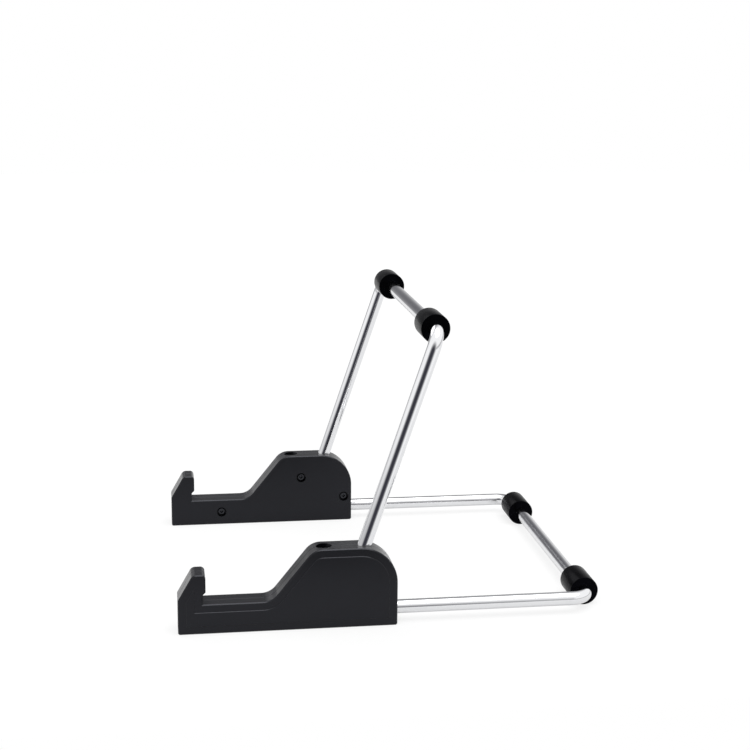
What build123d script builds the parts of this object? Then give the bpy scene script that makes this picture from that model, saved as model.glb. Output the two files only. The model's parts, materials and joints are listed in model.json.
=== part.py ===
"""Tablet stand: two clamshell feet joined by a base rod and a lift-out back support.

Frame: +X to the user's right, +Y to the rear, +Z up. The origin is on the table, midway between
the feet in X and midway between the feet's front and the rear sleeves in Y. All sizes are in mm.
"""
from build123d import *
import os
from math import cos, radians, sin, tan

# Feet, seen from the side: a lip at the front, a valley for the tablet's edge and a tall hump.
foot_length = 93.0
foot_height = 35.0
foot_thickness = 12.0
foot_spacing = 150.0          # middle of one foot to the middle of the other
nose_height = 15.0            # upright part of the front
lip_height = 26.0
lip_slope_run = 6.3           # how far the front leans back between nose and lip top
lip_depth = 11.7              # front of the foot to the tablet side of the lip
hook_overhang = 1.3           # how far the lip reaches back over the groove
hook_height = 17.0            # underside of the overhang
valley_height = 13.0
hump_slope = 51.0             # degrees above the table
hump_land = 4.8               # hump's front corner to the front socket's axis
valley_radius = 8.0
hump_front_radius = 8.0
hump_rear_radius = 16.0
lip_radius = 2.5
lip_rear_radius = 1.8
corner_cut = 0.6              # small bevel on the outline's outer corners

# Moulding: wall, edge softening, seam between the halves and the raised panel outside.
wall = 2.0
edge_chamfer = 0.4
seam_relief = 0.15
panel_margin = 3.4
panel_relief = 0.3
panel_chamfer = 0.2
rib_thickness = 1.6
rib_pitch = 14.0
cradle_wall = 1.6

# Rods
rod_diameter = 6.0
rod_bend_radius = 8.0
rod_end_chamfer = 0.6
base_reach = 179.2            # feet's front to the rear crossbar's axis
base_insertion = 45.0         # length of base rod held in each foot
base_clearance = 0.05         # radial, rod to cradle
neck_diameter = 4.6           # groove turned near each end of the base rod
neck_width = 2.4
neck_setback = 4.0            # rod end to the middle of the groove
support_lean = 18.7           # degrees back from upright
support_length = 95.9         # hump top to the upper crossbar's axis, along the lean
support_rise = 5.0            # base rod's top to the support rod's end
support_clearance = 0.15      # radial, rod to socket
support_end_gap = 0.2
socket_setback = 13.6         # rear face of the foot to the rear socket's axis, at the top
socket_pitch = 17.4

# Rubber sleeves on both crossbars
sleeve_diameter = 12.6
sleeve_length = 17.0

# Self-tapping pan head screws, driven from the inner faces
screw_diameter = 2.2
screw_end_gap = 0.4           # screw's end to the bottom of its pilot hole
head_diameter = 3.9
head_height = 1.4
head_sink = 1.2               # how far the head lies below the foot's inner face
counterbore_diameter = 4.9
head_clearance = 0.2
pilot_clearance = 0.05
boss_diameter = 5.4
seat_wall = 1.2               # inner shell's wall around each counterbore
rear_screw_setback = 4.0
rear_screw_rise = 3.4         # rear screw's axis above the base rod's top

# Tabs that stand up from the outer shells and line up the halves behind the inner shells' walls
tab_length = 4.0
tab_thickness = 1.2
tab_reach = 1.6               # past the seam
tab_clearance = 0.1

# Sizes that follow
half_thickness = foot_thickness / 2
cavity_depth = half_thickness - wall
rod_radius = rod_diameter / 2
rod_height = sleeve_diameter / 2
front_y = -(base_reach + sleeve_diameter / 2) / 2
rear_y = front_y + foot_length
crossbar_y = front_y + base_reach
rear_socket_at = foot_length - socket_setback
front_socket_at = rear_socket_at - socket_pitch
hump_corner_at = front_socket_at - hump_land
hump_foot_at = hump_corner_at - (foot_height - valley_height) / tan(radians(hump_slope))
lean = radians(support_lean)
cradle_radius = rod_radius + base_clearance
socket_radius = rod_radius + support_clearance
support_insertion = (foot_height - rod_height - rod_radius - support_rise) / cos(lean)
socket_depth = support_insertion + support_end_gap
base_end_at = foot_length - base_insertion
neck_at = base_end_at + neck_setback
seat_depth = half_thickness - head_sink - head_height
seat_pad = counterbore_diameter + 2 * seat_wall
screw_length = seat_depth + cavity_depth - screw_end_gap

# Screws as (distance from the foot's front, height)
hump_screw_depth = socket_depth * 0.55
screw_places = {
    "rear": (foot_length - rear_screw_setback, rod_height + rod_radius + rear_screw_rise),
    "front": ((lip_depth + hump_foot_at) / 2, valley_height / 2),
    "hump": (
        rear_socket_at - socket_pitch / 2 - hump_screw_depth * sin(lean),
        foot_height - hump_screw_depth * cos(lean),
    ),
}
# Tabs as (distance from the foot's front, height of the wall face they follow, way they grow)
tab_places = [
    (lip_depth, wall, 1),
    (base_end_at - tab_length, wall, 1),
    (screw_places["front"][0] + seat_pad / 2 + tab_length, valley_height - wall, -1),
]


def foot_plane(side):
    """Middle plane of a foot. Its local x runs to the rear from the foot's front, its y up."""
    return Plane(origin=(side * foot_spacing / 2, front_y, 0), x_dir=(0, 1, 0), z_dir=(1, 0, 0))


def lean_plane(x, foot_at):
    """Plane across a socket's mouth, square to the leaning axis that passes the hump's top."""
    return Plane(
        origin=(x, front_y + foot_at, foot_height),
        x_dir=(1, 0, 0),
        z_dir=(0, sin(lean), cos(lean)),
    )


# Side outline of a foot as corners: distance from its front, height and rounding
front_corners = [
    (0, 0, 0),
    (0, nose_height, 0),
    (lip_slope_run, lip_height, lip_radius),
]
hook_corners = [
    (lip_depth, lip_height, lip_rear_radius),
    (lip_depth, hook_height + hook_overhang, 0),
    (lip_depth - hook_overhang, hook_height, 0),
    (lip_depth - hook_overhang, valley_height, 0),
]
hump_corners = [
    (hump_foot_at, valley_height, valley_radius),
    (hump_corner_at, foot_height, hump_front_radius),
    (foot_length, foot_height, hump_rear_radius),
    (foot_length, 0, 0),
]
cut_corners = [(0, 0), (foot_length, 0)]


def outline(corners, cuts=()):
    """Closed line through the corners, each with its own rounding, and small bevels at cuts."""
    with BuildSketch() as sketch:
        with BuildLine():
            FilletPolyline(
                *[(at, height) for at, height, _ in corners],
                radius=[radius for _, _, radius in corners],
                close=True,
            )
        make_face()
        for corner in cuts:
            chamfer(sketch.vertices().sort_by_distance(corner)[0], length=corner_cut)
    return sketch.sketch


foot_outline = outline(front_corners + hook_corners + hump_corners, cut_corners)

# The panel keeps its margin from a plain lip, without the overhang
plain_front = [(at, height, 0) for at, height, _ in front_corners]
plain_hook = [(lip_depth - hook_overhang, height, 0) for height in (lip_height, valley_height)]
with BuildSketch() as panel_outline:
    add(outline(plain_front + plain_hook + hump_corners))
    offset(amount=-panel_margin, kind=Kind.INTERSECTION)

with BuildSketch() as hollow_outline:
    add(foot_outline)
    offset(amount=-wall, kind=Kind.INTERSECTION)


# Ribs that cradle the base rod, the first one in its groove and the rest back to the rear wall
rib_count = int((foot_length - wall - rib_thickness - neck_at) // rib_pitch) + 1
rib_places = [neck_at + index * rib_pitch for index in range(rib_count)]


def foot_shell(side, outward):
    """One half of a foot's housing. side is -1 for the left foot and +1 for the right one;
    outward is +1 for a half that grows towards +X from the middle plane and -1 for one that
    grows towards -X."""
    plane = foot_plane(side)
    is_outer = side == outward
    margin_depth = half_thickness - (panel_relief if is_outer else 0)
    outer_side = Axis.X if outward > 0 else -Axis.X

    with BuildPart() as shell:
        with BuildSketch(plane):
            add(foot_outline)
        extrude(amount=outward * margin_depth)
        chamfer(shell.faces().sort_by(outer_side)[-1].edges(), length=edge_chamfer)
        chamfer(shell.faces().sort_by(outer_side)[0].edges(), length=seam_relief)

        if is_outer:
            with BuildSketch(plane.offset(outward * margin_depth)):
                add(panel_outline.sketch)
            extrude(amount=outward * panel_relief)
            chamfer(shell.faces().sort_by(outer_side)[-1].edges(), length=panel_chamfer)

        # Hollow inside, with the walls, ribs, socket blocks and bosses left standing
        with BuildSketch(plane):
            add(hollow_outline.sketch)
            with Locations(*[(rib_at, rod_height) for rib_at in rib_places]):
                Rectangle(rib_thickness, 2 * (cradle_radius + cradle_wall), mode=Mode.SUBTRACT)
            block_length = socket_depth + wall
            for socket_at in (front_socket_at, rear_socket_at):
                block_at = socket_at - block_length / 2 * sin(lean)
                block_height = foot_height - block_length / 2 * cos(lean)
                with Locations(Location((block_at, block_height), -support_lean)):
                    Rectangle(
                        2 * (socket_radius + cradle_wall),
                        block_length,
                        mode=Mode.SUBTRACT,
                    )
            with Locations(*screw_places.values()):
                if is_outer:
                    Circle(boss_diameter / 2, mode=Mode.SUBTRACT)
                else:
                    Rectangle(seat_pad, seat_pad, mode=Mode.SUBTRACT)
            if is_outer:
                for tab_at, height, grows in tab_places:
                    with Locations((tab_at, height)):
                        Rectangle(tab_length, 2 * tab_thickness, mode=Mode.SUBTRACT)
        extrude(amount=outward * cavity_depth, mode=Mode.SUBTRACT)

        # Base rod's cradle: full bore behind the groove, a narrower one at the groove
        x = side * foot_spacing / 2
        rear_mouth = Plane(origin=(x, rear_y, rod_height), x_dir=(1, 0, 0), z_dir=(0, 1, 0))
        with BuildSketch(rear_mouth):
            Circle(cradle_radius)
        extrude(amount=-(base_insertion - neck_setback - neck_width / 2), mode=Mode.SUBTRACT)
        with BuildSketch(rear_mouth):
            Circle(neck_diameter / 2 + base_clearance)
        extrude(amount=-base_insertion, mode=Mode.SUBTRACT)

        # Sockets for the back support: the rear pair is in use, the front pair is spare
        for socket_at in (front_socket_at, rear_socket_at):
            mouth = lean_plane(x, socket_at)
            with BuildSketch(mouth.offset(-socket_depth)):
                Circle(socket_radius)
            extrude(amount=socket_depth + rod_diameter, mode=Mode.SUBTRACT)

        # Pilot holes and tabs on the outer half, screw holes with sunk seats on the inner half
        if is_outer:
            with BuildSketch(plane):
                with Locations(*screw_places.values()):
                    Circle(screw_diameter / 2 + pilot_clearance)
            extrude(amount=outward * cavity_depth, mode=Mode.SUBTRACT)
            with BuildSketch(plane):
                for tab_at, height, grows in tab_places:
                    middle = height + grows * (tab_thickness + tab_clearance) / 2
                    with Locations((tab_at, middle)):
                        Rectangle(tab_length, tab_thickness - tab_clearance)
            extrude(amount=-outward * tab_reach)
        else:
            with BuildSketch(plane):
                with Locations(*screw_places.values()):
                    Circle(screw_diameter / 2 + head_clearance)
            extrude(amount=outward * half_thickness, mode=Mode.SUBTRACT)
            with BuildSketch(plane.offset(outward * seat_depth)):
                with Locations(*screw_places.values()):
                    Circle(counterbore_diameter / 2)
            extrude(amount=outward * (head_sink + head_height), mode=Mode.SUBTRACT)
    return shell


def screw(side, place):
    """Pan head screw that enters a foot's inner face, head sunk in its counterbore."""
    foot_at, height = place
    seat_x = side * (foot_spacing / 2 - seat_depth)
    half_section = Plane(
        origin=(seat_x, front_y + foot_at, height),
        x_dir=(0, 1, 0),
        z_dir=(0, 0, side),
    )
    with BuildPart() as body:
        with BuildSketch(half_section):
            with BuildLine():
                Polyline(
                    (0, head_height),
                    (0, -screw_length),
                    (screw_diameter / 2, -screw_length),
                    (screw_diameter / 2, 0),
                    (head_diameter / 2, 0),
                    (head_diameter / 2, head_height),
                    close=True,
                )
            make_face()
        revolve(axis=Axis(half_section.origin, half_section.y_dir))
    return body


def bent_rod(plane, reach, insertion):
    """U of round rod on a plane: its crossbar lies at reach along the plane's y direction and
    its two ends at -insertion."""
    half = foot_spacing / 2
    corners = [(-half, -insertion), (-half, reach), (half, reach), (half, -insertion)]
    with BuildPart() as rod:
        with BuildLine(plane) as path:
            FilletPolyline(*corners, radius=rod_bend_radius)
        with BuildSketch(Plane(origin=path.line @ 0, z_dir=path.line % 0)):
            Circle(rod_radius)
        sweep(path=path.line)
        ends = rod.edges().group_by(Axis(plane.origin, plane.y_dir))[0]
        chamfer(ends, length=rod_end_chamfer)
    return rod.part


def sleeve(side, y, z):
    """Rubber sleeve on a crossbar, up against the start of its bend."""
    outer_end = foot_spacing / 2 - rod_bend_radius
    with BuildPart() as tube:
        with BuildSketch(Plane.YZ.offset(side * outer_end)):
            with Locations((y, z)):
                Circle(sleeve_diameter / 2)
        extrude(amount=-side * sleeve_length)
        with BuildSketch(Plane.YZ.offset(side * outer_end)):
            with Locations((y, z)):
                Circle(rod_radius)
        extrude(amount=-side * sleeve_length, mode=Mode.SUBTRACT)
    return tube


os.makedirs("parts", exist_ok=True)

for side_name, side in (("left", -1), ("right", 1)):
    outer_shell = foot_shell(side, side)
    outer_shell.part.label = f"{side_name}_outer_shell"
    export_step(outer_shell.part, f"parts/{side_name}_outer_shell.step")

    inner_shell = foot_shell(side, -side)
    inner_shell.part.label = f"{side_name}_inner_shell"
    export_step(inner_shell.part, f"parts/{side_name}_inner_shell.step")

    for place_name, place in screw_places.items():
        shell_screw = screw(side, place)
        shell_screw.part.label = f"{side_name}_{place_name}_screw"
        export_step(shell_screw.part, f"parts/{side_name}_{place_name}_screw.step")

    base_sleeve = sleeve(side, crossbar_y, rod_height)
    base_sleeve.part.label = f"{side_name}_base_sleeve"
    export_step(base_sleeve.part, f"parts/{side_name}_base_sleeve.step")

    support_sleeve = sleeve(
        side,
        front_y + rear_socket_at + support_length * sin(lean),
        foot_height + support_length * cos(lean),
    )
    support_sleeve.part.label = f"{side_name}_support_sleeve"
    export_step(support_sleeve.part, f"parts/{side_name}_support_sleeve.step")

# Flat U behind the feet, with a groove near each end that a rib of the shells sits in
base_plane = Plane(origin=(0, rear_y, rod_height), x_dir=(1, 0, 0), z_dir=(0, 0, 1))
groove_y = front_y + neck_at - neck_width / 2
with BuildPart() as base_rod:
    add(bent_rod(base_plane, base_reach - foot_length, base_insertion))
    with BuildSketch(Plane(origin=(0, groove_y, rod_height), x_dir=(1, 0, 0), z_dir=(0, 1, 0))):
        with Locations((-foot_spacing / 2, 0), (foot_spacing / 2, 0)):
            Circle(rod_diameter)
            Circle(neck_diameter / 2, mode=Mode.SUBTRACT)
    extrude(amount=neck_width, mode=Mode.SUBTRACT)
base_rod.part.label = "base_rod"
export_step(base_rod.part, "parts/base_rod.step")

# Leaning U that the tablet's back rests on
support_plane = Plane(
    origin=(0, front_y + rear_socket_at, foot_height),
    x_dir=(1, 0, 0),
    z_dir=(0, -cos(lean), sin(lean)),
)
with BuildPart() as support_rod:
    add(bent_rod(support_plane, support_length, support_insertion))
support_rod.part.label = "support_rod"
export_step(support_rod.part, "parts/support_rod.step")
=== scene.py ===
"""Tablet stand: two moulded feet, two chromed rods, rubber sleeves and screws, in a white studio.

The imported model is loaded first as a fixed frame. Each operator then gives one kind of piece its
finish. The feet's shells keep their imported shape; rods, sleeves and screws are modelled anew
where the frame says they are. All sizes are in metres unless a name says so.
"""

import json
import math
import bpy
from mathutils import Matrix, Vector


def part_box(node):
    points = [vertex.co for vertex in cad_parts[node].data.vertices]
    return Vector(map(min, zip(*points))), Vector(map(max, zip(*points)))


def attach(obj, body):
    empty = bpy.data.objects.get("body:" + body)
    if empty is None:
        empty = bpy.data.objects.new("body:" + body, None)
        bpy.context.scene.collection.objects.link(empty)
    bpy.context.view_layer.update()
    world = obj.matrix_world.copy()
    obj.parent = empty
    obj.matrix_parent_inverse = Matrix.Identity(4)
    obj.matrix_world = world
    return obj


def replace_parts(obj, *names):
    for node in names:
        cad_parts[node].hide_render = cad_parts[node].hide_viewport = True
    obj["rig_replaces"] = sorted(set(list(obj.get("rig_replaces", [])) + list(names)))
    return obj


bl_info = {
    "name": "Tablet Stand",
    "version": (1, 0, 0),
    "blender": (4, 5, 0),
    "location": "View3D > Sidebar > Tablet Stand",
    "description": "Feet, rods, sleeves and screws of a tablet stand, with their finishes",
    "category": "Add Mesh",
}

import bmesh
import bpy
from bpy.props import (
    FloatProperty,
    FloatVectorProperty,
    IntProperty,
    PointerProperty,
)
from mathutils import Matrix, Vector

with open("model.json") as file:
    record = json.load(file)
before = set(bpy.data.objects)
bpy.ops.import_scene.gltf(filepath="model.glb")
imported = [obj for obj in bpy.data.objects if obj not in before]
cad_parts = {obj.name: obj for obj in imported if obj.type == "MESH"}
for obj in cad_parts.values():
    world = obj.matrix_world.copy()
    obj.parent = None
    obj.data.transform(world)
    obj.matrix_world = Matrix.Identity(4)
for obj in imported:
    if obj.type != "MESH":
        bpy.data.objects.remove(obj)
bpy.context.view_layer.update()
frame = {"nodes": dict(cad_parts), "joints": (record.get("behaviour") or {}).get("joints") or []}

FIXED_BODY = "feet_and_base"
LIFTING_BODY = "back_support"
MM = 0.001
# Points closer than this are one and the same in a test
NEAR = 0.1 * MM


def linear(hex_colour):
    """An sRGB hex colour as the linear red, green and blue that the shaders take."""
    channels = [int(hex_colour[i : i + 2], 16) / 255 for i in (1, 3, 5)]
    return [c / 12.92 if c <= 0.04045 else ((c + 0.055) / 1.055) ** 2.4 for c in channels]


def per_metre(size_in_mm):
    """Scale of a noise pattern on Object coordinates whose features are this many mm across."""
    return 1 / (size_in_mm * MM)


def add_node(tree, kind, inputs=None, links=None, **settings):
    """Add a node with its settings, its input values and the sockets that feed its inputs."""
    node = tree.nodes.new(kind)
    for name, value in settings.items():
        setattr(node, name, value)
    for name, value in (inputs or {}).items():
        node.inputs[name].default_value = value
    for name, source in (links or {}).items():
        tree.links.new(source, node.inputs[name])
    return node


# Finishes


def new_material(name):
    """An empty node material and its output node."""
    material = bpy.data.materials.new(name)
    material.use_nodes = True
    material.node_tree.nodes.clear()
    output = add_node(material.node_tree, "ShaderNodeOutputMaterial")
    return material, material.node_tree, output


def moulded_abs(finish):
    """Black ABS moulded in a spark-eroded tool: a fine even grain that blurs every reflection,
    so flat sides stay deep grey-black and only faces seen at a low angle turn light grey. Its
    smooth skin, the coat, gives most of that light grey."""
    material, tree, output = new_material("Moulded ABS, black, spark-eroded grain")
    place = add_node(tree, "ShaderNodeTexCoord")
    # Grain of the tool, about 0.1 mm, drawn at 0.5 mm so that it shows
    grain = add_node(
        tree,
        "ShaderNodeTexNoise",
        inputs={"Scale": per_metre(0.5), "Detail": 3.0, "Roughness": 0.6},
        links={"Vector": place.outputs["Object"]},
    )
    # Flow of the plastic in the tool, clouds some 12 mm across
    flow = add_node(
        tree,
        "ShaderNodeTexNoise",
        inputs={"Scale": per_metre(12), "Detail": 2.0, "Roughness": 0.5},
        links={"Vector": place.outputs["Object"]},
    )
    tint = add_node(
        tree,
        "ShaderNodeMix",
        data_type="RGBA",
        inputs={"A": (*linear(finish_hex["plastic_dark"]), 1), "B": (*finish.plastic, 1)},
        links={"Factor": flow.outputs["Fac"]},
    )
    gloss = add_node(
        tree,
        "ShaderNodeMapRange",
        inputs={"From Min": 0.3, "From Max": 0.7, "To Min": 0.28, "To Max": 0.38},
        links={"Value": grain.outputs["Fac"]},
    )
    bump = add_node(
        tree,
        "ShaderNodeBump",
        inputs={"Strength": 0.22, "Distance": 0.04 * MM},
        links={"Height": grain.outputs["Fac"]},
    )
    shader = add_node(
        tree,
        "ShaderNodeBsdfPrincipled",
        inputs={
            "IOR": 1.54,
            "Specular IOR Level": 0.18,
            "Specular Tint": (*linear(finish_hex["plastic_sheen"]), 1),
            "Coat Weight": 0.9,
            "Coat Roughness": 0.28,
            "Coat IOR": 1.27,
        },
        links={
            "Base Color": tint.outputs["Result"],
            "Roughness": gloss.outputs["Result"],
            "Normal": bump.outputs["Normal"],
        },
    )
    tree.links.new(shader.outputs["BSDF"], output.inputs["Surface"])
    return material


def chromed_steel(finish):
    """Drawn steel rod, polished and chrome plated: a cool mirror whose reflections run along the
    rod as streaks, slightly softened, with a faint cloudiness left by the polishing."""
    material, tree, output = new_material("Chrome plated steel rod, polished")
    place = add_node(tree, "ShaderNodeTexCoord")
    # Cloudiness of the polish, about 5 mm
    cloud = add_node(
        tree,
        "ShaderNodeTexNoise",
        inputs={"Scale": per_metre(5), "Detail": 4.0, "Roughness": 0.6},
        links={"Vector": place.outputs["Object"]},
    )
    gloss = add_node(
        tree,
        "ShaderNodeMapRange",
        inputs={"From Min": 0.3, "From Max": 0.7, "To Min": 0.07, "To Max": 0.11},
        links={"Value": cloud.outputs["Fac"]},
    )
    tint = add_node(
        tree,
        "ShaderNodeMix",
        data_type="RGBA",
        inputs={"A": (*linear(finish_hex["chrome_cool"]), 1), "B": (*finish.chrome, 1)},
        links={"Factor": cloud.outputs["Fac"]},
    )
    bump = add_node(
        tree,
        "ShaderNodeBump",
        inputs={"Strength": 0.05, "Distance": 0.02 * MM},
        links={"Height": cloud.outputs["Fac"]},
    )
    shader = add_node(
        tree,
        "ShaderNodeBsdfPrincipled",
        inputs={"Metallic": 1.0},
        links={
            "Base Color": tint.outputs["Result"],
            "Roughness": gloss.outputs["Result"],
            "Normal": bump.outputs["Normal"],
        },
    )
    tree.links.new(shader.outputs["BSDF"], output.inputs["Surface"])
    return material


def moulded_rubber(finish):
    """Black nitrile rubber, moulded: nearly no colour of its own and a dull, broad highlight."""
    material, tree, output = new_material("Nitrile rubber, black, moulded")
    place = add_node(tree, "ShaderNodeTexCoord")
    # Matt skin, about 0.15 mm, drawn at 0.6 mm so that it shows
    skin = add_node(
        tree,
        "ShaderNodeTexNoise",
        inputs={"Scale": per_metre(0.6), "Detail": 4.0, "Roughness": 0.65},
        links={"Vector": place.outputs["Object"]},
    )
    # Dull bloom in patches some 7 mm across
    bloom = add_node(
        tree,
        "ShaderNodeTexNoise",
        inputs={"Scale": per_metre(7), "Detail": 2.0},
        links={"Vector": place.outputs["Object"]},
    )
    tint = add_node(
        tree,
        "ShaderNodeMix",
        data_type="RGBA",
        inputs={"A": (*linear(finish_hex["rubber_dark"]), 1), "B": (*finish.rubber, 1)},
        links={"Factor": bloom.outputs["Fac"]},
    )
    gloss = add_node(
        tree,
        "ShaderNodeMapRange",
        inputs={"From Min": 0.3, "From Max": 0.7, "To Min": 0.22, "To Max": 0.28},
        links={"Value": skin.outputs["Fac"]},
    )
    bump = add_node(
        tree,
        "ShaderNodeBump",
        inputs={"Strength": 0.25, "Distance": 0.05 * MM},
        links={"Height": skin.outputs["Fac"]},
    )
    shader = add_node(
        tree,
        "ShaderNodeBsdfPrincipled",
        inputs={
            "IOR": 1.52,
            "Specular IOR Level": 0.03,
            "Specular Tint": (*linear(finish_hex["rubber_sheen"]), 1),
        },
        links={
            "Base Color": tint.outputs["Result"],
            "Roughness": gloss.outputs["Result"],
            "Normal": bump.outputs["Normal"],
        },
    )
    tree.links.new(shader.outputs["BSDF"], output.inputs["Surface"])
    return material


def black_oxide_steel(finish):
    """Steel screw with a black oxide finish: dark, metallic and a little uneven."""
    material, tree, output = new_material("Black oxide steel")
    place = add_node(tree, "ShaderNodeTexCoord")
    # Unevenness of the finish, about 0.4 mm
    oxide = add_node(
        tree,
        "ShaderNodeTexNoise",
        inputs={"Scale": per_metre(0.4), "Detail": 3.0, "Roughness": 0.6},
        links={"Vector": place.outputs["Object"]},
    )
    tint = add_node(
        tree,
        "ShaderNodeMix",
        data_type="RGBA",
        inputs={"A": (*linear(finish_hex["oxide_dark"]), 1), "B": (*finish.screw, 1)},
        links={"Factor": oxide.outputs["Fac"]},
    )
    gloss = add_node(
        tree,
        "ShaderNodeMapRange",
        inputs={"From Min": 0.3, "From Max": 0.7, "To Min": 0.22, "To Max": 0.34},
        links={"Value": oxide.outputs["Fac"]},
    )
    shader = add_node(
        tree,
        "ShaderNodeBsdfPrincipled",
        inputs={"Metallic": 1.0},
        links={"Base Color": tint.outputs["Result"], "Roughness": gloss.outputs["Result"]},
    )
    tree.links.new(shader.outputs["BSDF"], output.inputs["Surface"])
    return material


finish_hex = {
    "plastic": "#0f1014",
    "plastic_dark": "#090a0c",
    "plastic_sheen": "#e6e8ff",
    "chrome": "#f5f5f7",
    "chrome_cool": "#eeeff1",
    "rubber": "#070708",
    "rubber_dark": "#040405",
    "rubber_sheen": "#d2d4ff",
    "screw": "#46474b",
    "oxide_dark": "#2e2f33",
    "floor": "#d2d2d2",
    "screen": "#1c1c2b",
}


# Modelling helpers


def deselect_all():
    """Leave nothing selected, so that the next operator acts on the new piece alone."""
    if bpy.context.object and bpy.context.object.mode == "EDIT":
        bpy.ops.object.mode_set(mode="OBJECT")
    bpy.ops.object.select_all(action="DESELECT")


def begin_edit(name):
    """Name the primitive just added, apply its place and start editing it."""
    piece = bpy.context.active_object
    piece.name = name
    piece.data.name = name
    bpy.ops.object.transform_apply(location=True, rotation=True, scale=True)
    bpy.ops.object.mode_set(mode="EDIT")
    return piece


def select_where(piece, kind, test):
    """In edit mode, select just the vertices, edges or faces that pass the test."""
    bpy.ops.mesh.select_mode(type=kind)
    bpy.ops.mesh.select_all(action="DESELECT")
    mesh = bmesh.from_edit_mesh(piece.data)
    for item in {"VERT": mesh.verts, "EDGE": mesh.edges, "FACE": mesh.faces}[kind]:
        item.select_set(test(item))
    mesh.select_flush_mode()
    bmesh.update_edit_mesh(piece.data)


def widen(centre, factor):
    """Scale what is selected about a centre."""
    bpy.ops.transform.resize(value=(factor, factor, factor), center_override=centre)


def copy_piece(piece, name, shift, turn, body, node):
    """Copy a finished piece to another place, turned about its own middle, with its own mesh."""
    deselect_all()
    piece.select_set(True)
    bpy.context.view_layer.objects.active = piece
    bpy.ops.object.duplicate(linked=False)
    copy = begin_edit(name)
    bpy.ops.mesh.select_all(action="SELECT")
    if turn:
        corners = [Vector(corner) for corner in copy.bound_box]
        middle = (corners[0] + corners[6]) / 2
        bpy.ops.transform.rotate(value=turn, orient_axis="Z", center_override=middle)
    bpy.ops.transform.translate(value=shift)
    bpy.ops.object.mode_set(mode="OBJECT")
    # The copy still says that it replaces the first piece's node
    del copy["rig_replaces"]
    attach(copy, body)
    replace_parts(copy, node)


def direction(azimuth, elevation):
    """Unit vector from the stand towards an azimuth, 0 at its front and 90 degrees at its right,
    and an elevation."""
    level = math.cos(elevation)
    return Vector((math.sin(azimuth) * level, -math.cos(azimuth) * level, math.sin(elevation)))


def finish_piece(piece, material, body, node, smooth_degrees=35):
    """Leave edit mode and give the piece its shading, its finish and its place in the frame."""
    bpy.ops.mesh.select_all(action="SELECT")
    bpy.ops.mesh.remove_doubles(threshold=NEAR / 50)
    bpy.ops.mesh.normals_make_consistent(inside=False)
    bpy.ops.object.mode_set(mode="OBJECT")
    bpy.ops.object.shade_smooth_by_angle(angle=math.radians(smooth_degrees))
    piece.data.materials.clear()
    piece.data.materials.append(material)
    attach(piece, body)
    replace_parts(piece, node)


# Sizes and colours that a user would change


class StandSizes(bpy.types.PropertyGroup):
    """Sizes of the modelled pieces that the frame doesn't give."""

    rod_sides: IntProperty(
        name="Rod sides", description="Faces round a rod", default=48, min=12, max=128
    )
    bend_steps: IntProperty(
        name="Bend steps", description="Faces along a bend", default=18, min=4, max=64
    )
    bend_radius: FloatProperty(
        name="Bend radius",
        description="Radius of both rods' bends, to the rod's axis",
        default=8 * MM,
        subtype="DISTANCE",
    )
    end_chamfer: FloatProperty(
        name="End chamfer",
        description="Chamfer on the rods' ends",
        default=0.6 * MM,
        subtype="DISTANCE",
    )
    neck_width: FloatProperty(
        name="Neck width",
        description="Width of the groove near each end of the base rod",
        default=2.4 * MM,
        subtype="DISTANCE",
    )
    neck_diameter: FloatProperty(
        name="Neck diameter",
        description="Diameter at the bottom of that groove",
        default=4.6 * MM,
        subtype="DISTANCE",
    )
    neck_setback: FloatProperty(
        name="Neck setback",
        description="Rod end to the middle of that groove",
        default=4 * MM,
        subtype="DISTANCE",
    )
    sleeve_edge: FloatProperty(
        name="Sleeve edge",
        description="Rounding of a sleeve's outer edges",
        default=0.25 * MM,
        subtype="DISTANCE",
    )
    head_height: FloatProperty(
        name="Head height",
        description="Height of a screw's head",
        default=1.4 * MM,
        subtype="DISTANCE",
    )
    shank_radius: FloatProperty(
        name="Shank radius",
        description="Radius of a screw's shank over its ridges",
        default=1.1 * MM,
        subtype="DISTANCE",
    )
    ridges: IntProperty(
        name="Ridges", description="Ridges of thread on a screw's shank", default=8, min=1, max=20
    )
    tip_taper: FloatProperty(
        name="Tip taper", description="Width of a screw's tip, as a share of its shank", default=0.45
    )
    head_rounding: FloatProperty(
        name="Head rounding",
        description="Rounding of a screw head's rim",
        default=0.55 * MM,
        subtype="DISTANCE",
    )
    recess_width: FloatProperty(
        name="Recess width",
        description="Width of each slot of a screw head's cross recess",
        default=0.9 * MM,
        subtype="DISTANCE",
    )
    recess_length: FloatProperty(
        name="Recess length",
        description="Length of each slot of the cross recess",
        default=2.2 * MM,
        subtype="DISTANCE",
    )
    recess_depth: FloatProperty(
        name="Recess depth",
        description="Depth of the cross recess",
        default=1.15 * MM,
        subtype="DISTANCE",
    )


class StandFinish(bpy.types.PropertyGroup):
    """Colours of the pieces."""

    plastic: FloatVectorProperty(
        name="Plastic",
        description="Lighter tone of the feet's ABS",
        default=linear(finish_hex["plastic"]),
        subtype="COLOR",
        min=0,
        max=1,
    )
    chrome: FloatVectorProperty(
        name="Chrome",
        description="Lighter tone of the rods' plating",
        default=linear(finish_hex["chrome"]),
        subtype="COLOR",
        min=0,
        max=1,
    )
    rubber: FloatVectorProperty(
        name="Rubber",
        description="Lighter tone of the sleeves",
        default=linear(finish_hex["rubber"]),
        subtype="COLOR",
        min=0,
        max=1,
    )
    screw: FloatVectorProperty(
        name="Screws",
        description="Lighter tone of the screws' finish",
        default=linear(finish_hex["screw"]),
        subtype="COLOR",
        min=0,
        max=1,
    )
    floor: FloatVectorProperty(
        name="Floor",
        description="Colour of the studio floor",
        default=linear(finish_hex["floor"]),
        subtype="COLOR",
        min=0,
        max=1,
    )


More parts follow.
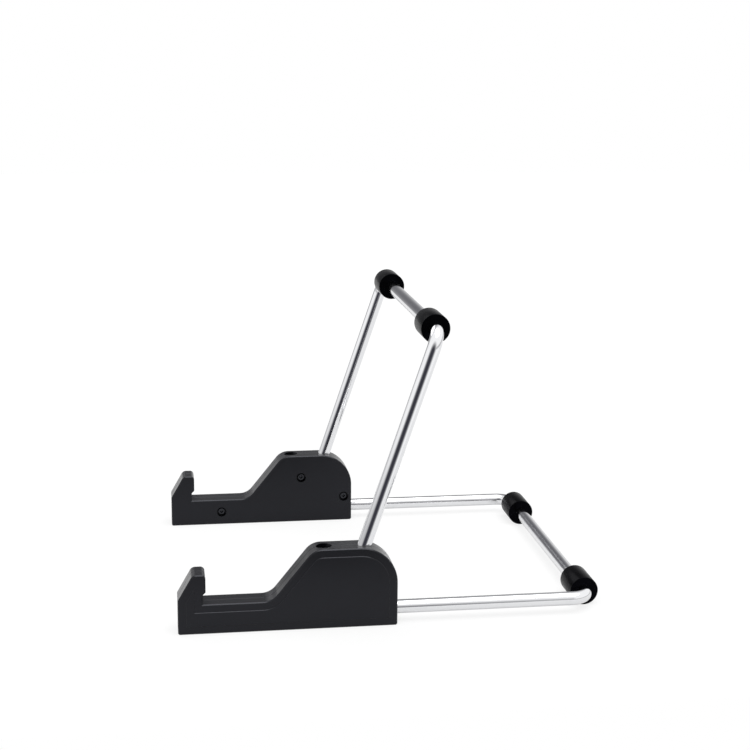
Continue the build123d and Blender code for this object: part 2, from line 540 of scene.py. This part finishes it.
class StandStudio(bpy.types.PropertyGroup):
    """Camera and light."""

    camera_place: FloatVectorProperty(
        name="Camera place",
        description="Where the camera stands",
        default=(0.67845, -0.10079, 0.23969),
        subtype="XYZ",
        unit="LENGTH",
    )
    camera_azimuth: FloatProperty(
        name="Camera azimuth",
        description="Turn of the camera round the stand, 0 from the front, 90 from the right",
        default=math.radians(81.401),
        subtype="ANGLE",
    )
    camera_elevation: FloatProperty(
        name="Camera elevation",
        description="Height of the view above the horizon",
        default=math.radians(12.143),
        subtype="ANGLE",
    )
    camera_roll: FloatProperty(
        name="Camera roll",
        description="Tilt of the camera about its own axis",
        default=math.radians(0.498),
        subtype="ANGLE",
    )
    lens_mm: FloatProperty(
        name="Lens", description="Focal length in mm on a 36 mm sensor", default=72.17
    )
    top_light: FloatProperty(
        name="Top light", description="Strength of the wide softbox overhead", default=1.9
    )
    side_light: FloatProperty(
        name="Side light",
        description="Strength of the softbox on the stand's left",
        default=0.5,
    )
    room_light: FloatProperty(
        name="Room light", description="Strength of the light from all round", default=0.5
    )
    floor_edge: FloatProperty(
        name="Floor edge",
        description="How far the floor reaches on the camera's side",
        default=0.17,
        subtype="DISTANCE",
    )
    near_screen: FloatProperty(
        name="Near screen",
        description="Azimuth of the dark screen beside the camera, which the rods reflect",
        default=math.radians(72),
        subtype="ANGLE",
    )
    far_screen: FloatProperty(
        name="Far screen",
        description="Azimuth of the grey screen on the stand's far side",
        default=math.radians(-76),
        subtype="ANGLE",
    )


# Operators


class STAND_OT_rods(bpy.types.Operator):
    """Model the base rod and the support rod, each a U of round rod swept through two bends"""

    bl_idname = "tablet_stand.rods"
    bl_label = "Rods"

    def execute(self, context):
        sizes = context.scene.stand_sizes
        material = chromed_steel(context.scene.stand_finish)
        lift = next(joint for joint in frame["joints"] if joint["name"] == "support_lift")
        lean = Vector(lift["axis"]).normalized()
        low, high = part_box("base_rod")
        radius = (high.z - low.z) / 2
        rim = radius - sizes.end_chamfer
        neck = sizes.neck_diameter / 2
        neck_start = sizes.neck_setback - sizes.neck_width / 2
        neck_end = sizes.neck_setback + sizes.neck_width / 2
        end = [(0, rim), (sizes.end_chamfer, radius)]
        groove = [(neck_start, radius), (neck_start, neck), (neck_end, neck), (neck_end, radius)]
        reach = high.y - radius - low.y
        self.bend_rod(sizes, material, "base_rod", Vector((0, 1, 0)), reach, end + groove)
        # A leaning rod's lowest point is the rim of its end
        low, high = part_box("support_rod")
        reach = (high.z - radius - low.z - rim * lean.y) / lean.z
        self.bend_rod(sizes, material, "support_rod", lean, reach, end)
        return {"FINISHED"}

    def bend_rod(self, sizes, material, node, along, reach, end):
        """One U. along points up its legs, reach is from their ends to the crossbar's axis, and
        end lists (distance from the leg's end, radius) up to where the plain rod starts."""
        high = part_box(node)[1]
        radius = end[-1][1]
        bend = sizes.bend_radius
        across = Vector((1, 0, 0))
        half = across * (high.x - radius)
        bar = Vector((0, high.y - radius, high.z - radius))
        foot = bar - along * reach
        stops = end + [(reach - bend, radius)]
        deselect_all()
        bpy.ops.mesh.primitive_circle_add(
            vertices=sizes.rod_sides,
            radius=end[0][1],
            location=foot - half,
            rotation=along.to_track_quat("Z", "Y").to_euler(),
        )
        piece = begin_edit(node + "_chrome")
        bpy.ops.mesh.select_mode(type="EDGE")
        bpy.ops.mesh.select_all(action="SELECT")
        self.walk_leg(foot - half, along, stops)
        turn = {
            "steps": sizes.bend_steps,
            "angle": math.radians(90),
            "axis": across.cross(along),
        }
        inner = across * bend
        bpy.ops.mesh.spin(center=bar - half + inner - along * bend, **turn)
        bpy.ops.mesh.extrude_region_move(TRANSFORM_OT_translate={"value": 2 * (half - inner)})
        bpy.ops.mesh.spin(center=bar + half - inner - along * bend, **turn)
        self.walk_leg(foot + half, along, stops[::-1])
        for side in (-1, 1):
            select_where(
                piece, "EDGE", lambda edge: edge.is_boundary and edge.verts[0].co.x * side > 0
            )
            bpy.ops.mesh.edge_face_add()
        body = LIFTING_BODY if along.z > 0 else FIXED_BODY
        finish_piece(piece, material, body, node)

    def walk_leg(self, foot, along, stops):
        """Extrude the selected ring from the first stop to the last one."""
        for (at, wide), (next_at, next_wide) in zip(stops, stops[1:]):
            step = along * (next_at - at)
            bpy.ops.mesh.extrude_region_move(TRANSFORM_OT_translate={"value": step})
            widen(foot + along * next_at, next_wide / wide)


class STAND_OT_sleeves(bpy.types.Operator):
    """Model a rubber sleeve with rounded rims, and copy it to its four places on the crossbars"""

    bl_idname = "tablet_stand.sleeves"
    bl_label = "Sleeves"

    def execute(self, context):
        sizes = context.scene.stand_sizes
        material = moulded_rubber(context.scene.stand_finish)
        places = {
            "left_base_sleeve": FIXED_BODY,
            "right_base_sleeve": FIXED_BODY,
            "left_support_sleeve": LIFTING_BODY,
            "right_support_sleeve": LIFTING_BODY,
        }
        first = "left_base_sleeve"
        rod_low, rod_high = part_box("base_rod")
        bore = (rod_high.z - rod_low.z) / 2
        low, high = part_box(first)
        radius = (high.z - low.z) / 2
        middle = (low + high) / 2
        start = Vector((low.x, middle.y, middle.z))
        length = Vector((high.x - low.x, 0, 0))
        deselect_all()
        bpy.ops.mesh.primitive_circle_add(
            vertices=sizes.rod_sides, radius=bore, location=start, rotation=(0, math.pi / 2, 0)
        )
        piece = begin_edit(first + "_rubber")
        bpy.ops.mesh.select_mode(type="EDGE")
        bpy.ops.mesh.select_all(action="SELECT")
        for step, centre, factor in (
            ((0, 0, 0), start, radius / bore),
            (length, start + length, 1),
            ((0, 0, 0), start + length, bore / radius),
            (-length, start, 1),
        ):
            bpy.ops.mesh.extrude_region_move(TRANSFORM_OT_translate={"value": step})
            widen(centre, factor)
        bpy.ops.mesh.select_all(action="SELECT")
        bpy.ops.mesh.remove_doubles(threshold=NEAR / 10)

        def is_rim(edge, wide):
            """Both ends on the ring, because an edge that runs inwards has one end on it too."""
            off_axis = [(vert.co - middle) * Vector((0, 1, 1)) for vert in edge.verts]
            along_axis = abs(edge.verts[0].co.x - edge.verts[1].co.x)
            on_ring = all(abs(offset.length - wide) < NEAR for offset in off_axis)
            return on_ring and along_axis < NEAR

        select_where(piece, "EDGE", lambda edge: is_rim(edge, radius))
        bpy.ops.mesh.bevel(offset=sizes.sleeve_edge, segments=5, profile=0.5)
        select_where(piece, "EDGE", lambda edge: is_rim(edge, bore))
        # The bore's edges are a third as round
        bpy.ops.mesh.bevel(offset=sizes.sleeve_edge / 3, segments=2, profile=0.5)
        finish_piece(piece, material, places[first], first)
        for node in places:
            if node != first:
                low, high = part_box(node)
                shift = (low + high) / 2 - middle
                copy_piece(piece, node + "_rubber", shift, 0, places[node], node)
        return {"FINISHED"}


class STAND_OT_screws(bpy.types.Operator):
    """Model a pan head screw with a cross recess and ridged shank, and copy it to each place"""

    bl_idname = "tablet_stand.screws"
    bl_label = "Screws"

    def execute(self, context):
        sizes = context.scene.stand_sizes
        material = black_oxide_steel(context.scene.stand_finish)
        first = "left_rear_screw"
        low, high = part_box(first)
        head_radius = (high.z - low.z) / 2
        middle = (low + high) / 2
        top = Vector((high.x, middle.y, middle.z))
        inward = Vector((-1, 0, 0))
        deselect_all()
        bpy.ops.mesh.primitive_cylinder_add(
            vertices=sizes.rod_sides,
            radius=head_radius,
            depth=sizes.head_height,
            location=top + inward * sizes.head_height / 2,
            rotation=(0, math.pi / 2, 0),
        )
        piece = begin_edit(first + "_steel")
        select_where(
            piece, "EDGE", lambda edge: all(vert.co.x > top.x - NEAR for vert in edge.verts)
        )
        bpy.ops.mesh.bevel(offset=sizes.head_rounding, segments=5, profile=0.5)
        select_where(piece, "FACE", lambda face: face.normal.x < -0.9)
        bpy.ops.mesh.inset(thickness=head_radius - sizes.shank_radius)
        at = top + inward * sizes.head_height
        shank = at.x - low.x
        pitch = shank / (sizes.ridges + 1)
        for ridge in range(sizes.ridges):
            # Down to the root of the thread, out again and along its crest, as shares of the pitch
            for step, factor in ((0.3, 0.8), (0.35, 1.25), (0.35, 1)):
                at = at + inward * pitch * step
                bpy.ops.mesh.extrude_region_move(
                    TRANSFORM_OT_translate={"value": inward * pitch * step}
                )
                widen(at, factor)
        at = at + inward * pitch
        bpy.ops.mesh.extrude_region_move(TRANSFORM_OT_translate={"value": inward * pitch})
        widen(at, sizes.tip_taper)
        bpy.ops.object.mode_set(mode="OBJECT")
        for slot_size in (
            (sizes.recess_depth, sizes.recess_width, sizes.recess_length),
            (sizes.recess_depth, sizes.recess_length, sizes.recess_width),
        ):
            self.cut_slot(piece, top, slot_size)
        bpy.ops.object.mode_set(mode="EDIT")
        finish_piece(piece, material, FIXED_BODY, first, smooth_degrees=40)
        for node in sorted(frame["nodes"]):
            if node.endswith("_screw") and node != first:
                low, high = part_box(node)
                shift = (low + high) / 2 - middle
                turn = math.pi if node.startswith("right") else 0
                copy_piece(piece, node + "_steel", shift, turn, FIXED_BODY, node)
        return {"FINISHED"}

    def cut_slot(self, piece, top, size):
        """Cut one slot of the cross, its walls drawn in to 0.6 of their width at the bottom. size
        is the slot's depth and its two widths."""
        depth, across, upright = size
        deselect_all()
        bpy.ops.mesh.primitive_cube_add(size=1, location=top, scale=(2 * depth, across, upright))
        cutter = begin_edit("recess_cutter")
        select_where(cutter, "FACE", lambda face: face.normal.x < -0.9)
        bpy.ops.transform.resize(value=(1, 0.6, 0.6), center_override=top)
        bpy.ops.object.mode_set(mode="OBJECT")
        deselect_all()
        piece.select_set(True)
        bpy.context.view_layer.objects.active = piece
        cut = piece.modifiers.new("recess", "BOOLEAN")
        cut.object = cutter
        cut.solver = "EXACT"
        bpy.ops.object.modifier_apply(modifier=cut.name)
        bpy.data.objects.remove(cutter)


class STAND_OT_feet(bpy.types.Operator):
    """Give the feet's four shells, which keep their CAD shape, the ABS finish"""

    bl_idname = "tablet_stand.feet"
    bl_label = "Feet"

    def execute(self, context):
        material = moulded_abs(context.scene.stand_finish)
        for node in sorted(frame["nodes"]):
            if node.endswith("_shell"):
                for slot in frame["nodes"][node].material_slots:
                    slot.material = material
        return {"FINISHED"}


class STAND_OT_stage(bpy.types.Operator):
    """Lay the pale floor and set the studio lights, the white surround and the camera"""

    bl_idname = "tablet_stand.stage"
    bl_label = "Studio"

    def execute(self, context):
        studio = context.scene.stand_studio
        scene = context.scene
        scene.view_settings.view_transform = "Standard"
        deselect_all()
        # The floor stops short on the camera's side, as a table does
        floor_length = 2.5
        floor_width = 4
        middle = Vector((studio.floor_edge - floor_length / 2, 0, 0))
        bpy.ops.mesh.primitive_plane_add(size=1, location=middle)
        floor = begin_edit("floor")
        bpy.ops.transform.resize(value=(floor_length, floor_width, 1), center_override=middle)
        bpy.ops.object.mode_set(mode="OBJECT")
        floor.data.materials.append(self.floor_paper(scene.stand_finish))
        self.light_room(scene, studio)
        deselect_all()
        # Each softbox's direction and its angle across, in degrees, and its strength
        for name, azimuth, elevation, angle, strength in (
            ("top_softbox", 140, 78, 50, studio.top_light),
            ("side_softbox", -60, 35, 40, studio.side_light),
        ):
            back = direction(math.radians(azimuth), math.radians(elevation))
            bpy.ops.object.light_add(type="SUN", location=back)
            lamp = bpy.context.active_object
            lamp.name = name
            lamp.rotation_euler = (-back).to_track_quat("-Z", "Y").to_euler()
            lamp.data.energy = strength
            lamp.data.angle = math.radians(angle)
        bpy.ops.object.camera_add(location=studio.camera_place)
        camera = bpy.context.active_object
        camera.name = "studio_camera"
        back = direction(studio.camera_azimuth, studio.camera_elevation)
        right = Vector((math.cos(studio.camera_azimuth), math.sin(studio.camera_azimuth), 0))
        up = back.cross(right)
        stand = Matrix((right, up, back)).transposed()
        stand = stand @ Matrix.Rotation(studio.camera_roll, 3, "Z")
        camera.rotation_euler = stand.to_euler()
        camera.data.sensor_width = 36
        camera.data.lens = studio.lens_mm
        camera.data.clip_start = 0.01
        scene.camera = camera
        return {"FINISHED"}

    def floor_paper(self, finish):
        """Matt white background paper: mostly a plain white to the camera, with the stand's soft
        shadow kept on it."""
        glow_strength = 1.15
        camera_share = 0.7
        mirror_share = 0.3
        material, tree, output = new_material("Background paper, matt white")
        ray = add_node(tree, "ShaderNodeLightPath")
        place = add_node(tree, "ShaderNodeTexCoord")
        # Fibres of the paper, about 1 mm
        fibre = add_node(
            tree,
            "ShaderNodeTexNoise",
            inputs={"Scale": per_metre(1)},
            links={"Vector": place.outputs["Object"]},
        )
        bump = add_node(
            tree,
            "ShaderNodeBump",
            inputs={"Strength": 0.02, "Distance": 0.02 * MM},
            links={"Height": fibre.outputs["Fac"]},
        )
        paper = add_node(
            tree,
            "ShaderNodeBsdfDiffuse",
            inputs={"Color": (*finish.floor, 1)},
            links={"Normal": bump.outputs["Normal"]},
        )
        glow = add_node(
            tree, "ShaderNodeEmission", inputs={"Color": (1, 1, 1, 1), "Strength": glow_strength}
        )
        to_camera = add_node(
            tree,
            "ShaderNodeMath",
            operation="MULTIPLY",
            inputs={1: camera_share},
            links={0: ray.outputs["Is Camera Ray"]},
        )
        mirrored = add_node(
            tree,
            "ShaderNodeMath",
            operation="MAXIMUM",
            links={0: ray.outputs["Is Glossy Ray"], 1: ray.outputs["Is Transmission Ray"]},
        )
        share = add_node(
            tree,
            "ShaderNodeMath",
            operation="MULTIPLY_ADD",
            inputs={1: mirror_share},
            links={0: mirrored.outputs["Value"], 2: to_camera.outputs["Value"]},
        )
        mix = add_node(
            tree,
            "ShaderNodeMixShader",
            links={
                "Fac": share.outputs["Value"],
                1: paper.outputs["BSDF"],
                2: glow.outputs["Emission"],
            },
        )
        tree.links.new(mix.outputs["Shader"], output.inputs["Surface"])
        return material

    def light_room(self, scene, studio):
        """White surround, in which only reflections show a dark screen beside the camera and a
        grey one on the far side."""
        world = bpy.data.worlds.new("studio_room")
        scene.world = world
        world.use_nodes = True
        tree = world.node_tree
        tree.nodes.clear()
        way = add_node(tree, "ShaderNodeTexCoord")
        # Where the paper ends, a thin grey line runs all round at eye level. It fades out
        # between these angles above and below the horizon
        line_inner, line_outer = math.radians(2), math.radians(10)
        line_shade = 0.5
        height = add_node(
            tree, "ShaderNodeSeparateXYZ", links={"Vector": way.outputs["Generated"]}
        )
        level = add_node(
            tree, "ShaderNodeMath", operation="ABSOLUTE", links={0: height.outputs["Z"]}
        )
        line = add_node(
            tree,
            "ShaderNodeMapRange",
            interpolation_type="SMOOTHSTEP",
            inputs={
                "From Min": math.sin(line_inner),
                "From Max": math.sin(line_outer),
                "To Min": line_shade,
                "To Max": 0.0,
            },
            links={"Value": level.outputs["Value"]},
        )
        dark = line.outputs["Result"]
        # Each screen's elevation and the angles between which its round edge fades, in degrees,
        # and how dark it is
        for azimuth, elevation, inner, outer, shade in (
            (studio.near_screen, -5, 10, 54, 0.97),
            (studio.far_screen, 27, 0, 51, 0.88),
        ):
            facing = add_node(
                tree,
                "ShaderNodeVectorMath",
                operation="DOT_PRODUCT",
                inputs={1: direction(azimuth, math.radians(elevation))},
                links={0: way.outputs["Generated"]},
            )
            screen = add_node(
                tree,
                "ShaderNodeMapRange",
                interpolation_type="SMOOTHSTEP",
                inputs={
                    "From Min": math.cos(math.radians(outer)),
                    "From Max": math.cos(math.radians(inner)),
                    "To Max": shade,
                },
                links={"Value": facing.outputs["Value"]},
            )
            darker = add_node(
                tree,
                "ShaderNodeMath",
                operation="MAXIMUM",
                links={0: dark, 1: screen.outputs["Result"]},
            )
            dark = darker.outputs["Value"]
        ray = add_node(tree, "ShaderNodeLightPath")
        mirrored = add_node(
            tree,
            "ShaderNodeMath",
            operation="MAXIMUM",
            links={0: ray.outputs["Is Glossy Ray"], 1: ray.outputs["Is Transmission Ray"]},
        )
        screened = add_node(
            tree,
            "ShaderNodeMath",
            operation="MULTIPLY",
            links={0: dark, 1: mirrored.outputs["Value"]},
        )
        colour = add_node(
            tree,
            "ShaderNodeMix",
            data_type="RGBA",
            inputs={"A": (1, 1, 1, 1), "B": (*linear(finish_hex["screen"]), 1)},
            links={"Factor": screened.outputs["Value"]},
        )
        seen = add_node(
            tree,
            "ShaderNodeMath",
            operation="MAXIMUM",
            links={0: ray.outputs["Is Camera Ray"], 1: mirrored.outputs["Value"]},
        )
        strength = add_node(
            tree,
            "ShaderNodeMapRange",
            inputs={"To Min": studio.room_light, "To Max": 1.0},
            links={"Value": seen.outputs["Value"]},
        )
        surround = add_node(
            tree,
            "ShaderNodeBackground",
            links={"Color": colour.outputs["Result"], "Strength": strength.outputs["Result"]},
        )
        add_node(
            tree, "ShaderNodeOutputWorld", links={"Surface": surround.outputs["Background"]}
        )


class STAND_PT_panel(bpy.types.Panel):
    """Sidebar panel with the stand's pieces, sizes and colours"""

    bl_idname = "STAND_PT_panel"
    bl_label = "Tablet Stand"
    bl_space_type = "VIEW_3D"
    bl_region_type = "UI"
    bl_category = "Tablet Stand"

    def draw(self, context):
        scene = context.scene
        for title, group in (
            ("Sizes", scene.stand_sizes),
            ("Finish", scene.stand_finish),
            ("Studio", scene.stand_studio),
        ):
            column = self.layout.column(align=True)
            column.label(text=title)
            for name in group.bl_rna.properties.keys():
                if name not in ("rna_type", "name"):
                    column.prop(group, name)
        for operator in OPERATORS:
            self.layout.operator(operator.bl_idname)


GROUPS = {"stand_sizes": StandSizes, "stand_finish": StandFinish, "stand_studio": StandStudio}
OPERATORS = (
    STAND_OT_feet,
    STAND_OT_rods,
    STAND_OT_sleeves,
    STAND_OT_screws,
    STAND_OT_stage,
)


def register():
    for kind in (*GROUPS.values(), *OPERATORS, STAND_PT_panel):
        bpy.utils.register_class(kind)
    for name, group in GROUPS.items():
        setattr(bpy.types.Scene, name, PointerProperty(type=group))


def unregister():
    for name in GROUPS:
        delattr(bpy.types.Scene, name)
    for kind in (STAND_PT_panel, *reversed(OPERATORS), *GROUPS.values()):
        bpy.utils.unregister_class(kind)


def main():
    register()
    bpy.ops.tablet_stand.feet()
    bpy.ops.tablet_stand.rods()
    bpy.ops.tablet_stand.sleeves()
    bpy.ops.tablet_stand.screws()
    bpy.ops.tablet_stand.stage()


if __name__ == "__main__":
    main()
